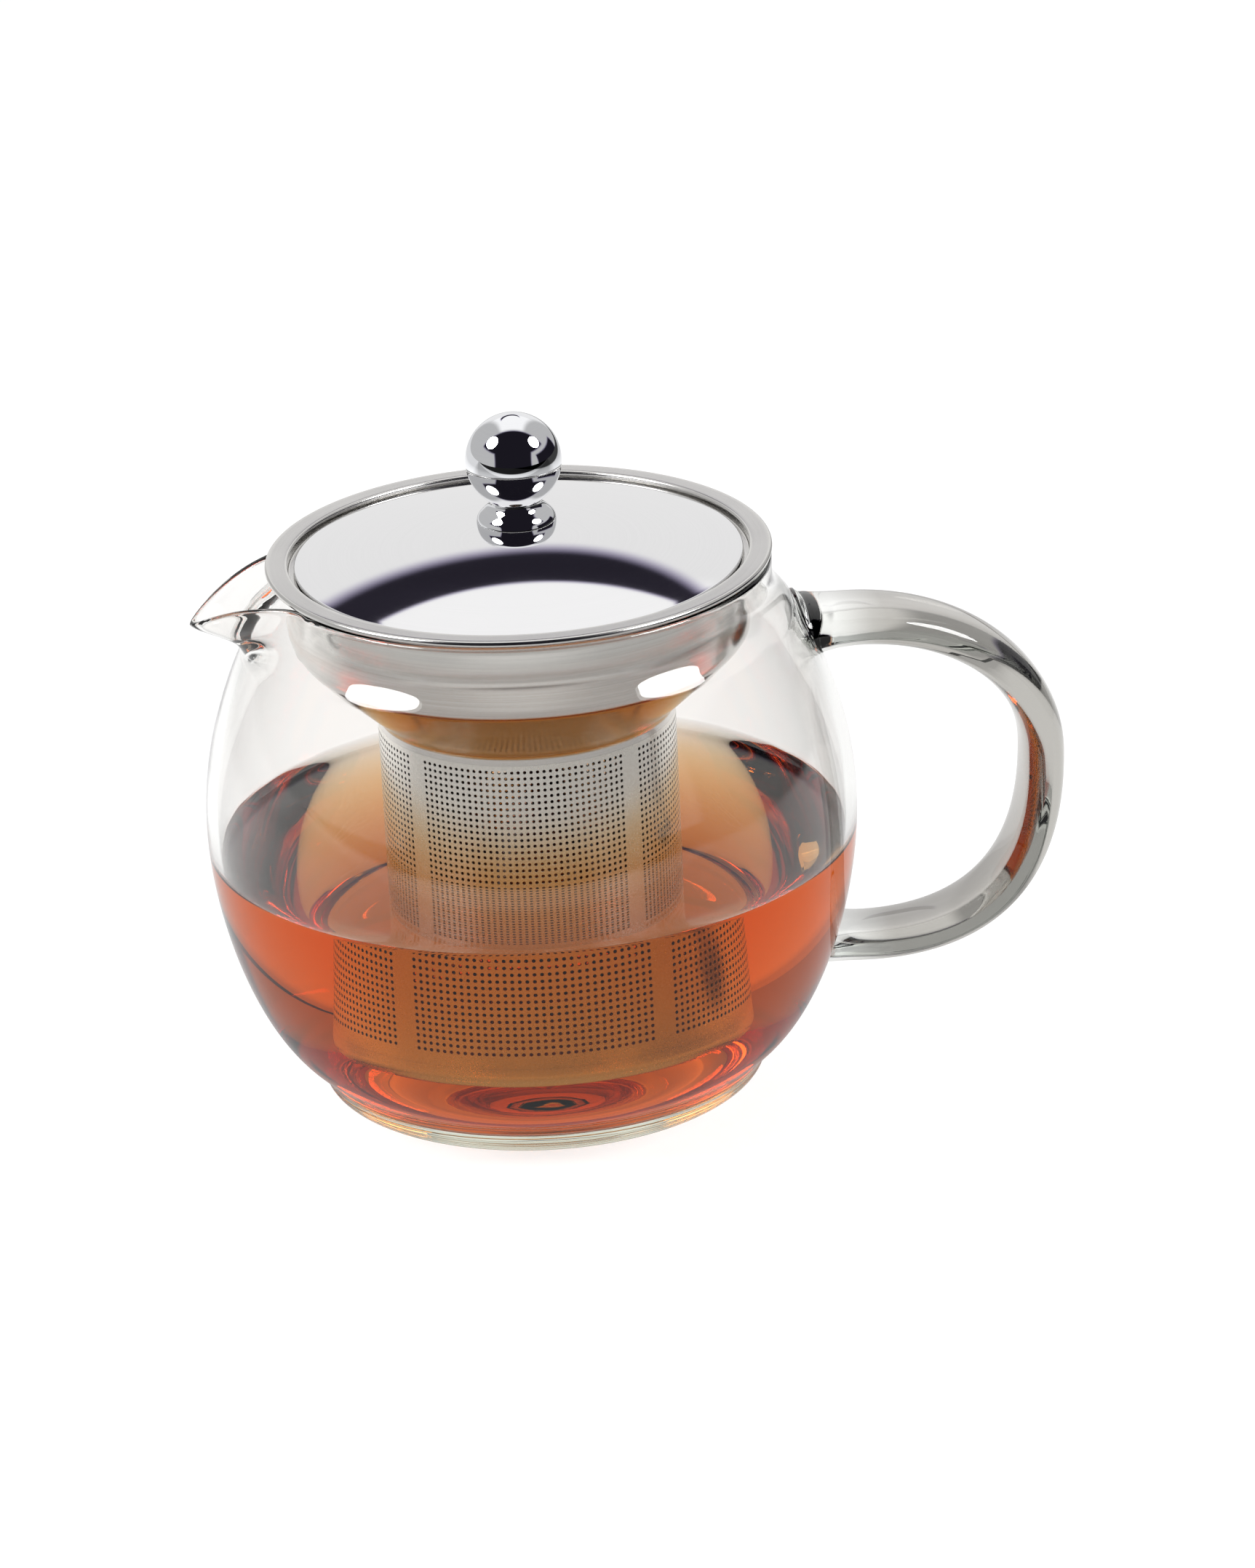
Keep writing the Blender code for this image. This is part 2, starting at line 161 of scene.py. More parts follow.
def bezier(p0, p1, p2, p3, steps):
    """Points on a cubic Bezier curve, both ends included."""
    points = []
    for t in np.linspace(0, 1, steps + 1):
        a, b, c, d = (1 - t) ** 3, 3 * (1 - t) ** 2 * t, 3 * (1 - t) * t * t, t ** 3
        points.append(tuple(a * p0[k] + b * p1[k] + c * p2[k] + d * p3[k] for k in range(2)))
    return points


def line(start, end, steps):
    """Points on a straight run, both ends included."""
    return [(start[0] + (end[0] - start[0]) * t, start[1] + (end[1] - start[1]) * t)
            for t in np.linspace(0, 1, steps + 1)]


def fillet(before, corner, after, radius, steps):
    """An arc of the given radius that rounds off one corner of an outline."""
    c = Vector(corner)
    u = (Vector(before) - c).normalized()
    v = (Vector(after) - c).normalized()
    half = u.angle(v) / 2
    centre = c + (u + v).normalized() * radius / math.sin(half)
    start = c + u * radius / math.tan(half) - centre
    end = c + v * radius / math.tan(half) - centre
    side = 1 if start.x * end.y - start.y * end.x > 0 else -1
    points = []
    for a in np.linspace(0, side * start.angle(end), steps + 1):
        x = start.x * math.cos(a) - start.y * math.sin(a)
        y = start.x * math.sin(a) + start.y * math.cos(a)
        points.append((centre.x + x, centre.y + y))
    return points


def offset(points, distance):
    """The outline moved sideways, to the left of its direction of travel."""
    p = np.array(points)
    t = np.gradient(p, axis=0)
    t /= np.linalg.norm(t, axis=1)[:, None]
    return [tuple(q) for q in p + distance * np.stack([-t[:, 1], t[:, 0]], -1)]


# ---- mesh helpers -------------------------------------------------------------------------
def outward(mesh):
    """Make a closed mesh's faces point out."""
    bm = bmesh.new()
    bm.from_mesh(mesh)
    bmesh.ops.recalc_face_normals(bm, faces=bm.faces)
    bm.to_mesh(mesh)
    bm.free()


def linked(name, data):
    """A new object in the scene."""
    obj = bpy.data.objects.new(name, data)
    bpy.context.scene.collection.objects.link(obj)
    return obj


def add_mesh(name, verts, faces, body, slot, mat, replaces=(), crease_deg=CREASE_DEG):
    """A closed, smooth-shaded piece that rides on a body and stands for CAD nodes."""
    mesh = bpy.data.meshes.new(name)
    mesh.from_pydata([tuple(v) for v in verts], [], [tuple(f) for f in faces])
    mesh.validate()
    mesh.materials.append(mat)
    mesh.shade_smooth()
    outward(mesh)
    mesh.set_sharp_from_angle(angle=math.radians(crease_deg))
    obj = linked(name, mesh)
    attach(obj, body)
    if replaces:
        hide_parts(*replaces)
    return obj


def turned_arrays(outline, steps, closed):
    """Vertices and faces of an outline turned about Z. Points on the axis become one vertex."""
    angles = np.arange(steps) * 2 * math.pi / steps
    verts, rows = [], []
    for r, z in outline:
        if r < 1e-7:
            rows.append([len(verts)] * steps)
            verts.append((0.0, 0.0, z))
        else:
            rows.append(list(range(len(verts), len(verts) + steps)))
            verts.extend((r * math.cos(a), r * math.sin(a), z) for a in angles)
    pairs = list(zip(rows, rows[1:]))
    if closed:
        pairs.append((rows[-1], rows[0]))
    faces = []
    for a, b in pairs:
        for k in range(steps):
            n = (k + 1) % steps
            face = []
            for v in (a[k], a[n], b[n], b[k]):
                if v not in face:
                    face.append(v)
            if len(face) > 2:
                faces.append(face)
    return verts, faces


def turned(name, outline, steps, closed, *where, **more):
    """A turned piece."""
    return add_mesh(name, *turned_arrays(outline, steps, closed), *where, **more)


# ---- material helpers ---------------------------------------------------------------------
class Tree:
    """Short ways to build a node tree."""

    def __init__(self, tree):
        self.tree = tree

    def add(self, kind, **settings):
        node = self.tree.nodes.new(kind)
        for key, value in settings.items():
            if key in node.inputs:
                node.inputs[key].default_value = value
            else:
                setattr(node, key, value)
        return node

    def join(self, source, target):
        self.tree.links.new(source, target)

    def feed(self, node, values):
        """Give a node its inputs in order, each a number or another node's output."""
        for i, value in enumerate(values):
            if isinstance(value, (int, float)):
                node.inputs[i].default_value = value
            else:
                self.join(value, node.inputs[i])
        return node.outputs[0]

    def maths(self, operation, *values):
        return self.feed(self.add("ShaderNodeMath", operation=operation), values)

    def product(self, *values):
        result = values[0]
        for value in values[1:]:
            result = self.maths("MULTIPLY", result, value)
        return result

    def total(self, *values):
        result = values[0]
        for value in values[1:]:
            result = self.maths("ADD", result, value)
        return result

    def vector(self, x, y, z):
        return self.feed(self.add("ShaderNodeCombineXYZ"), (x, y, z))

    def ramp(self, value, low, high, out_low=0.0, out_high=1.0, **settings):
        node = self.add("ShaderNodeMapRange", **settings)
        self.join(value, node.inputs["Value"])
        for key, number in zip(("From Min", "From Max", "To Min", "To Max"),
                               (low, high, out_low, out_high)):
            node.inputs[key].default_value = number
        return node.outputs["Result"]

    def mix(self, factor, first, second):
        node = self.add("ShaderNodeMix", data_type="RGBA")
        self.join(factor, node.inputs["Factor"])
        sockets = [s for s in node.inputs if s.type == "RGBA"]
        for socket, value in zip(sockets, (first, second)):
            socket.default_value = (*value, 1.0)
        return next(s for s in node.outputs if s.type == "RGBA")


class Nodes(Tree):
    """A material's node tree, with its Principled node ready."""

    def __init__(self, name):
        self.mat = bpy.data.materials.new(name)
        self.mat.use_nodes = True
        super().__init__(self.mat.node_tree)
        self.bsdf = self.tree.nodes["Principled BSDF"]
        self.out = self.tree.nodes["Material Output"]

    def set(self, **values):
        for key, value in values.items():
            self.bsdf.inputs[key.replace("_", " ")].default_value = value

    def position(self):
        """Object coordinates: their vector, x, y, z, and the distance from the axis."""
        coords = self.add("ShaderNodeTexCoord").outputs["Object"]
        split = self.add("ShaderNodeSeparateXYZ")
        self.join(coords, split.inputs[0])
        x, y, z = split.outputs
        radius = self.maths("SQRT", self.total(self.product(x, x), self.product(y, y)))
        return coords, x, y, z, radius

    def noise(self, vector, scale, detail=3.0, roughness=0.5):
        node = self.add("ShaderNodeTexNoise", Scale=scale, Detail=detail, Roughness=roughness)
        self.join(vector, node.inputs["Vector"])
        return node.outputs["Fac"]

    def bump(self, height, strength, distance):
        node = self.add("ShaderNodeBump", Strength=strength, Distance=distance)
        self.join(height, node.inputs["Height"])
        self.join(node.outputs["Normal"], self.bsdf.inputs["Normal"])

    def absorb(self, color, density):
        """Colour that deepens with the distance light travels inside."""
        node = self.add("ShaderNodeVolumeAbsorption", Density=density)
        node.inputs["Color"].default_value = (*color, 1.0)
        self.join(node.outputs[0], self.out.inputs["Volume"])


def turned_steel(name, dark, light, rough, lines, bump, smudge=0.05):
    """Steel polished on a lathe: fine rings round the axis, and faint wide smudges."""
    n = Nodes(name)
    n.set(Metallic=1.0)
    coords, x, _, z, radius = n.position()
    swirl = n.vector(n.product(radius, lines), n.product(x, 18.0), n.product(z, lines))
    rings = n.noise(swirl, 1.0, 4.0, 0.6)
    wide = n.noise(coords, 55.0, 3.0)
    n.join(n.mix(n.ramp(rings, 0.3, 0.7), dark, light), n.bsdf.inputs["Base Color"])
    uneven = n.total(n.ramp(rings, 0.25, 0.75, rough * 0.8, rough * 1.2),
                     n.ramp(wide, 0.35, 0.75, 0.0, smudge))
    n.join(uneven, n.bsdf.inputs["Roughness"])
    n.bump(rings, bump, 0.00004)
    return n.mat


def plain_steel(name, dark, light, rough, bump, inside=0.0, inside_shade_color=(0.0, 0.0, 0.0)):
    """Rolled steel sheet with a fine even grain, faint wide smudges and a brown painted shade on its
    inside.
    """
    n = Nodes(name)
    n.set(Metallic=1.0)
    coords, _, _, _, radius = n.position()
    grain = n.noise(coords, 2600.0, 3.0, 0.6)
    wide = n.noise(coords, 60.0, 3.0)
    sheet = n.mix(n.ramp(grain, 0.35, 0.65), dark, light)
    # painted shade: the inner face of the sheet is darkened brown, where the closed basket lies in
    # shade
    inside_shade_tint = n.mix(n.ramp(radius, inside, inside + 0.0001), inside_shade_color, (1.0, 1.0, 1.0))
    shade = n.add("ShaderNodeVectorMath", operation="MULTIPLY")
    n.join(sheet, shade.inputs[0])
    n.join(inside_shade_tint, shade.inputs[1])
    n.join(shade.outputs[0], n.bsdf.inputs["Base Color"])
    uneven = n.total(n.ramp(grain, 0.3, 0.7, rough * 0.9, rough * 1.1),
                     n.ramp(wide, 0.35, 0.75, 0.0, 0.04))
    n.join(uneven, n.bsdf.inputs["Roughness"])
    n.bump(grain, bump, 0.00003)
    return n.mat


# ---- materials ----------------------------------------------------------------------------
def wet_index(n, dry, wet):
    """Refraction against air, or against the other piece where the attribute "wet" is 1."""
    n.set(IOR=dry)
    mark = n.add("ShaderNodeAttribute", attribute_name="wet").outputs["Fac"]
    n.join(n.ramp(mark, 0.0, 1.0, dry, wet), n.bsdf.inputs["IOR"])


def mark_wet(mesh, wet):
    """Store the mesh attribute "wet", true or false for each vertex."""
    marks = mesh.attributes.new("wet", "FLOAT", "POINT")
    marks.data.foreach_set("value", [float(w) for w in wet])


def glass_material(name, tint, density):
    """Clear glass, slightly wavy, with a faint green where it is thick and a handle greyed by painted
    shade.
    """
    n = Nodes(name)
    n.set(Roughness=0.0, Transmission_Weight=1.0)
    coords, x, _, _, _ = n.position()
    # painted shade: the handle's glass is greyed, standing in for the darker surroundings it shows
    n.join(n.mix(n.ramp(x, 0.062, 0.072), (1.0, 0.99, 0.978), (0.55, 0.525, 0.50)),
           n.bsdf.inputs["Base Color"])
    wet_index(n, GLASS_INDEX, GLASS_INDEX / TEA_INDEX)
    n.bump(n.noise(coords, 42.0, 2.0, 0.4), 0.10, 0.0006)
    n.absorb(tint, density)
    return n.mat


def tea_material():
    """Clear amber-red liquid."""
    n = Nodes("tea_liquid")
    n.set(Roughness=0.0, Base_Color=(1.0, 1.0, 1.0, 1.0), Transmission_Weight=1.0)
    wet_index(n, TEA_INDEX, 1.001)
    n.bump(n.noise(n.position()[0], 30.0, 1.0, 0.3), 0.04, 0.0004)
    n.absorb((0.922, 0.585, 0.05), 60.0)
    return n.mat


JUG_GLASS = glass_material("jug_glass", (0.84, 0.915, 0.855), 14.0)
TEA = tea_material()
COLLAR_STEEL = turned_steel("collar_steel", (0.68, 0.67, 0.65), (0.78, 0.77, 0.75), 0.15, 5200, 0.05)
# the last colour is the brown painted shade on the inside of the basket
BASKET_STEEL = plain_steel("basket_steel", (0.80, 0.79, 0.75), (0.86, 0.85, 0.81), 0.24, 0.05,
                           SLEEVE_RADIUS - 0.0003, (0.30, 0.25, 0.20))
CUP_STEEL = plain_steel("cup_steel", (0.78, 0.77, 0.74), (0.85, 0.84, 0.81), 0.24, 0.05)
LID_STEEL = turned_steel("lid_steel", (0.83, 0.83, 0.84), (0.85, 0.85, 0.86), 0.03, 4200, 0.0, 0.01)
SKIRT_STEEL = turned_steel("skirt_steel", (0.60, 0.59, 0.58), (0.68, 0.67, 0.66), 0.26, 5200, 0.15)
CHROME = turned_steel("knob_chrome", (0.86, 0.87, 0.90), (0.89, 0.90, 0.92), 0.012, 2500, 0.0, 0.01)
SCREW_STEEL = turned_steel("screw_steel", (0.52, 0.52, 0.52), (0.64, 0.64, 0.64), 0.28, 6000, 0.2)
WASHER_STEEL = turned_steel("washer_steel", (0.54, 0.54, 0.54), (0.66, 0.66, 0.66), 0.30, 6000, 0.2)


# ---- glass jug with its fused handle ------------------------------------------------------
def jug_wall():
    """Outside of the jug from the crease above the foot up to the rim."""
    belly = (BELLY_RADIUS, BELLY_Z)
    neck_low = (NECK_RADIUS, NECK_LOW_Z)
    neck_end = (NECK_RADIUS, RIM_Z - GLASS / 2)
    low = bezier(CREASE, (0.0573, 0.0118), (BELLY_RADIUS, 0.0375), belly, 36)
    high = bezier(belly, (BELLY_RADIUS, 0.0679), (0.0621, 0.0806), SHOULDER, 26)
    neck = bezier(SHOULDER, (0.0528, 0.0984), (NECK_RADIUS, 0.0994), neck_low, 20)
    return low + high[1:] + neck[1:] + line(neck_low, neck_end, 6)[1:]


def jug_inner(depth=GLASS):
    """Inside of the jug, from the rim down to the edge of the flat floor."""
    wall = offset(jug_wall(), depth)
    heel = wall[0]
    sweep = bezier((heel[0] - 0.0050, FLOOR), (heel[0] - 0.0024, FLOOR),
                   (heel[0] - 0.0013, heel[1] - 0.0022), heel, 10)
    return list(reversed(sweep + wall[1:]))


def spout_share(angle):
    """How far the rim is drawn out at angles from the spout's centre line, from 0 to 1."""
    base = NECK_RADIUS
    tip = base + SPOUT_REACH
    ax, ay = base * math.cos(SPOUT_HALF_ANGLE), base * math.sin(SPOUT_HALF_ANGLE)
    nx, ny = ay, tip - ax
    rounded = np.sqrt(angle * angle + SPOUT_TIP_ROUND ** 2) - SPOUT_TIP_ROUND
    reach = tip * nx / (nx * np.cos(rounded) + ny * np.sin(rounded)) - base
    soft = 4 * SPOUT_BLEND * SPOUT_BLEND
    eased = (reach + np.sqrt(reach * reach + soft)) / 2
    top = (SPOUT_REACH + math.sqrt(SPOUT_REACH ** 2 + soft)) / 2
    share = (np.clip(eased / top - SPOUT_CUT, 0, None) / (1 - SPOUT_CUT)) ** 0.8
    return np.where(np.abs(angle) < SPOUT_ZONE, share, 0.0)


def draw_spout(verts):
    """Pull the rim outwards and down into a pouring lip on the -X side."""
    p = np.array(verts)
    angle = np.arctan2(p[:, 1], -p[:, 0])
    share = spout_share(angle)
    t = np.clip((p[:, 2] - SPOUT_ROOT_Z) / (RIM_Z - SPOUT_ROOT_Z), 0, 1)
    radius = np.maximum(np.hypot(p[:, 0], p[:, 1]), 1e-9)
    grow = 1 + SPOUT_REACH * share * t * t * (3 - 2 * t) / radius
    p[:, 0] *= grow
    p[:, 1] *= grow
    p[:, 2] -= SPOUT_DROP * share ** 1.9 * t
    return p


def handle_path():
    """Centre line of the handle, with closer stations near the two joints."""
    top = bezier((0.0520, HANDLE_TOP_Z - 0.0006), (0.0800, 0.0940),
                 (HANDLE_REACH, 0.0782), (HANDLE_REACH, HANDLE_MID_Z), 300)
    low = bezier((HANDLE_REACH, HANDLE_MID_Z), (HANDLE_REACH, 0.0200),
                 (0.0770, 0.0166), (0.0520, HANDLE_LOW_Z + 0.0006), 300)
    path = np.array(top + low[1:])
    run = np.r_[0, np.cumsum(np.linalg.norm(np.diff(path, axis=0), axis=1))]
    length = run[-1]
    at = np.r_[np.linspace(0, HANDLE_JOINT, 50),
               np.linspace(HANDLE_JOINT, length - HANDLE_JOINT, 80)[1:-1],
               np.linspace(length - HANDLE_JOINT, length, 50)]
    points = np.stack([np.interp(at, run, path[:, 0]), np.interp(at, run, path[:, 1])], -1)
    return points, at / length


def handle_arrays():
    """The strap handle as a closed sweep that flares where it meets the jug's wall."""
    path, share = handle_path()
    wall = np.array(jug_wall())
    along = np.gradient(path, axis=0)
    along /= np.linalg.norm(along, axis=1)[:, None]
    half_width = HANDLE_HALF_WIDTH_TOP + (HANDLE_HALF_WIDTH_LOW - HANDLE_HALF_WIDTH_TOP) * share
    sides = HANDLE_SIDES
    a = np.arange(sides) * 2 * math.pi / sides
    power = 2 / HANDLE_SQUARENESS
    c = np.sign(np.cos(a)) * np.abs(np.cos(a)) ** power
    s = np.sign(np.sin(a)) * np.abs(np.sin(a)) ** power
    verts = []
    for (x, z), (tx, tz), wide, place in zip(path, along, half_width, share):
        upper = place < 0.5
        for ck, sk in zip(c, s):
            thick, side = HANDLE_HALF_THICK * ck, wide * sk
            px, pz = x - tz * thick, z + tx * thick
            gap = max(math.hypot(px, side) - np.interp(pz, wall[:, 1], wall[:, 0]), 0.0)
            grow = 1 + FLARE * math.exp(-(gap / FLARE_REACH) ** 2)
            weld = WELD_LOW
            if upper:
                weld = WELD_TOP_INNER + (WELD_TOP_OUTER - WELD_TOP_INNER) * max(ck, 0.0)
                grow += LIFT * max(ck, 0.0) * math.exp(-(gap / LIFT_REACH) ** 2)
                grow -= WAIST * math.exp(-((gap - WAIST_GAP) / WAIST_WIDTH) ** 2)
            lean = max(1 - gap / weld, 0.0)
            grow += weld * (1 - math.sqrt(1 - 0.98 * lean * lean)) / HANDLE_HALF_THICK
            spread = 1 + (grow - 1) * SIDE_GROWTH
            verts.append((x - tz * thick * grow, side * spread, z + tx * thick * grow))
    count = len(path)
    faces = [list(range(sides)), list(range((count - 1) * sides, count * sides))[::-1]]
    for i in range(count - 1):
        for k in range(sides):
            n = (k + 1) % sides
            faces.append((i * sides + k, i * sides + n, (i + 1) * sides + n, (i + 1) * sides + k))
    return verts, faces


def jug_arrays():
    """The jug as a turned solid, before its spout is drawn out."""
    foot = arc((FOOT_RADIUS - FOOT_ROUND, FOOT_ROUND), FOOT_ROUND, -90, 0, 12)
    rim = arc((NECK_RADIUS - GLASS / 2, RIM_Z - GLASS / 2), GLASS / 2, 0, 180, 12)[1:]
    base = line((0.0, 0.0), (FOOT_RADIUS - FOOT_ROUND, 0.0), 8)[:-1]
    floor = line(jug_inner()[-1], (0.0, FLOOR), 8)[1:]
    outline = base + foot + jug_wall() + rim + jug_inner()[1:] + floor
    return turned_arrays(outline, TURNS, False)


def solid_object(name, verts, faces):
    """A plain closed mesh object, used to shape another one."""
    mesh = bpy.data.meshes.new(name)
    mesh.from_pydata(verts, [], faces)
    outward(mesh)
    return linked(name, mesh)


def add_boolean(obj, operation, other):
    """Shape one object with another one."""
    modifier = obj.modifiers.new(operation.lower(), "BOOLEAN")
    modifier.operation = operation
    modifier.solver = "EXACT"
    modifier.object = other


def build_glass():
    """One fused glass piece: the jug joined to its handle, whose ends stop inside the wall."""
    verts, faces = jug_arrays()
    jug = add_mesh("jug_glass", draw_spout(verts), faces, "jug", "jug_glass", JUG_GLASS,
                   replaces=("glass_jug", "glass_handle"))
    handle = solid_object("handle", *handle_arrays())
    middle = offset(jug_wall(), GLASS / 2)
    outline = [(0.0, middle[0][1])] + middle + [(0.0, middle[-1][1])]
    core = solid_object("core", *turned_arrays(outline, TURNS, False))
    add_boolean(handle, "DIFFERENCE", core)
    add_boolean(jug, "UNION", handle)
    graph = bpy.context.evaluated_depsgraph_get()
    fused = bpy.data.meshes.new_from_object(jug.evaluated_get(graph))
    jug.modifiers.clear()
    jug.data = fused
    bpy.data.objects.remove(handle)
    bpy.data.objects.remove(core)
    fused.materials.clear()
    fused.materials.append(JUG_GLASS)
    fused.shade_smooth()
    fused.set_sharp_from_angle(angle=math.radians(60))
    inner = np.array(jug_inner())[::-1]
    marks = []
    for v in fused.vertices:
        in_reach = FLOOR - 0.0001 < v.co.z < TEA_LEVEL + 0.0008
        skin = np.interp(v.co.z, inner[:, 1], inner[:, 0]) + 0.0002
        marks.append(in_reach and math.hypot(v.co.x, v.co.y) < skin)
    mark_wet(fused, marks)
    jug.visible_shadow = False       # the lamps light what is inside the jug


# ---- tea ----------------------------------------------------------------------------------
def build_tea():
    """The liquid in the pot. It climbs the glass a little and reaches just into it."""
    wet = 0.00015
    fine = 0.008                     # width of the finely divided edge of the surface
    wall = [p for p in jug_inner(GLASS - wet) if p[1] < TEA_LEVEL]
    top_radius = wall[0][0]
    radii = np.r_[np.linspace(0, top_radius - fine, 24)[:-1],
                  top_radius - fine * np.linspace(1, 0, 24) ** 2]
    top = [(r, TEA_LEVEL + TEA_RISE * math.exp((r - top_radius) / TEA_RISE_WIDTH)) for r in radii]
    low = [(r, z - wet if z < FLOOR + 0.0001 else z) for r, z in wall]
    low += line(low[-1], (0.0, low[-1][1]), 6)[1:]
    tea = turned("tea", top + low, SMALL_TURNS, False, "jug", "tea", TEA)
    skin = top_radius - 0.0001
    mark_wet(tea.data, [v.co.z < TEA_LEVEL - 0.0001 or math.hypot(v.co.x, v.co.y) > skin
                        for v in tea.data.vertices])


# ---- infuser ------------------------------------------------------------------------------
def build_collar():
    """Pressed funnel with a flat flange, the lid's ledge, a straight wall and a cone."""
    outer_low = (SLEEVE_RADIUS, CONE_LOW)
    cone_top = (WALL_RADIUS, CONE_TOP)
    inner_wall = WALL_RADIUS - SHEET
    inner_low = (SLEEVE_RADIUS - SLEEVE_SHEET, CONE_LOW + 0.0002)
    inner_cone = (inner_wall, CONE_TOP + 0.0003)
    recess_out = RECESS_RADIUS + SHEET
    ledge_low = LEDGE_Z - SHEET
    edge = (FLANGE_TOP - FLANGE_LOW) / 2
    outline = line((RECESS_RADIUS + 0.0006, FLANGE_TOP), (FLANGE_RADIUS - edge, FLANGE_TOP), 6)
    outline += arc((FLANGE_RADIUS - edge, FLANGE_TOP - edge), edge, 90, -90, 14)[1:]
    outline += fillet((FLANGE_RADIUS, FLANGE_LOW), (recess_out, FLANGE_LOW),
                      (recess_out, ledge_low), 0.0003, 4)
    outline += fillet((recess_out, FLANGE_LOW), (recess_out, ledge_low),
                      (WALL_RADIUS, ledge_low), 0.0003, 4)
    outline += fillet((recess_out, ledge_low), (WALL_RADIUS, ledge_low), cone_top, 0.0003, 4)
    outline += line((WALL_RADIUS, ledge_low - 0.0006), (WALL_RADIUS, CONE_TOP + 0.0030), 10)
    outline += fillet((WALL_RADIUS, LEDGE_Z), cone_top, outer_low, 0.0035, 14)
    cone_end = fillet(cone_top, outer_low, (SLEEVE_RADIUS, SLEEVE_TOP), 0.0022, 12)
    outline += line(outline[-1], cone_end[0], 10)[1:-1]
    outline += cone_end
    outline += [(SLEEVE_RADIUS, SLEEVE_TOP), (SLEEVE_RADIUS - SLEEVE_SHEET, SLEEVE_TOP)]
    low_end = (SLEEVE_RADIUS - SLEEVE_SHEET, SLEEVE_TOP)
    inner_cone_low = fillet(low_end, inner_low, inner_cone, 0.0027, 12)
    outline += inner_cone_low
    inner_cone_top = fillet(inner_low, inner_cone, (inner_wall, LEDGE_Z), 0.0029, 14)
    outline += line(inner_cone_low[-1], inner_cone_top[0], 10)[1:-1]
    outline += inner_cone_top
    outline += fillet(inner_cone, (inner_wall, LEDGE_Z), (RECESS_RADIUS, LEDGE_Z), 0.0004, 4)
    outline += fillet((inner_wall, LEDGE_Z), (RECESS_RADIUS, LEDGE_Z),
                      (RECESS_RADIUS, FLANGE_TOP), 0.0003, 4)
    outline += fillet((RECESS_RADIUS, LEDGE_Z), (RECESS_RADIUS, FLANGE_TOP),
                      (FLANGE_RADIUS, FLANGE_TOP), 0.0005, 6)[:-1]
    turned("collar", outline, TURNS, True, "infuser", "collar_steel", COLLAR_STEEL,
           replaces=("infuser_collar",))


def build_sleeve():
    """The basket's wall: a rolled sheet with panels of round holes, cut right through."""
    columns = PANELS * (HOLE_COLUMNS + BLANK_COLUMNS)
    pitch_a = 2 * math.pi / columns
    low_row = TOP_ROW_Z - (HOLE_ROWS - 1) * HOLE_PITCH_Z
    levels = [SLEEVE_LOW] + [low_row + (i - 0.5) * HOLE_PITCH_Z for i in range(HOLE_ROWS + 1)]
    levels += [SLEEVE_TOP - SEAM]
    start = PANEL_AZIMUTH - HOLE_COLUMNS / 2 * pitch_a
    verts, faces = [], []
    index = {}

    def vert(side, a, z, key):
        """A vertex on the outside (0) or the inside (1) of the sheet."""
        k = (side, key)
        if k not in index:
            r = SLEEVE_RADIUS - side * SLEEVE_SHEET
            index[k] = len(verts)
            verts.append((r * math.cos(a), r * math.sin(a), z))
        return index[k]

    def ring(side, i, j):
        """The 8 points round a cell, from its lower left corner, counter-clockwise outside."""
        a0, z0, z1 = start + i * pitch_a, levels[j], levels[j + 1]
        half = pitch_a / 2
        mid = (z0 + z1) / 2
        steps = ((0, 0), (1, 0), (2, 0), (2, 1), (2, 2), (1, 2), (0, 2), (0, 1))
        return [vert(side, a0 + u * half, (z0, mid, z1)[v],
                     ((2 * i + u) % (2 * columns), 2 * j + v)) for u, v in steps]

    for i in range(columns):
        punched = i % (HOLE_COLUMNS + BLANK_COLUMNS) < HOLE_COLUMNS
        for j in range(len(levels) - 1):
            outer, inner = ring(0, i, j), ring(1, i, j)
            if not (punched and 1 <= j <= HOLE_ROWS):
                faces.append(outer)
                faces.append(inner[::-1])
                continue
            a = start + (i + 0.5) * pitch_a
            z = (levels[j] + levels[j + 1]) / 2
            edge = []
            for side, r in ((0, SLEEVE_RADIUS), (1, SLEEVE_RADIUS - SLEEVE_SHEET)):
                loop = []
                for k in range(8):
                    t = math.radians(225 + 45 * k)
                    loop.append(len(verts))
                    b = a + HOLE_RADIUS * math.cos(t) / SLEEVE_RADIUS
                    verts.append((r * math.cos(b), r * math.sin(b), z + HOLE_RADIUS * math.sin(t)))
                edge.append(loop)
            for k in range(8):
                n = (k + 1) % 8
                faces.append((outer[k], outer[n], edge[0][n], edge[0][k]))
                faces.append((inner[n], inner[k], edge[1][k], edge[1][n]))
                faces.append((edge[0][k], edge[0][n], edge[1][n], edge[1][k]))
    for i in range(columns):
        for j, v, flip in ((0, 0, 1), (len(levels) - 2, 2, -1)):
            for u in (0, 1):
                a0 = start + (i + u / 2) * pitch_a
                z = levels[j + v // 2]
                ends = [(0, u), (0, u + 1), (1, u + 1), (1, u)]
                face = [vert(s, a0 + (w - u) * pitch_a / 2, z,
                             ((2 * i + w) % (2 * columns), 2 * j + v)) for s, w in ends]
                faces.append(face[::flip])
    add_mesh("sleeve", verts, faces, "infuser", "basket_steel", BASKET_STEEL,
             replaces=("infuser_sleeve",))


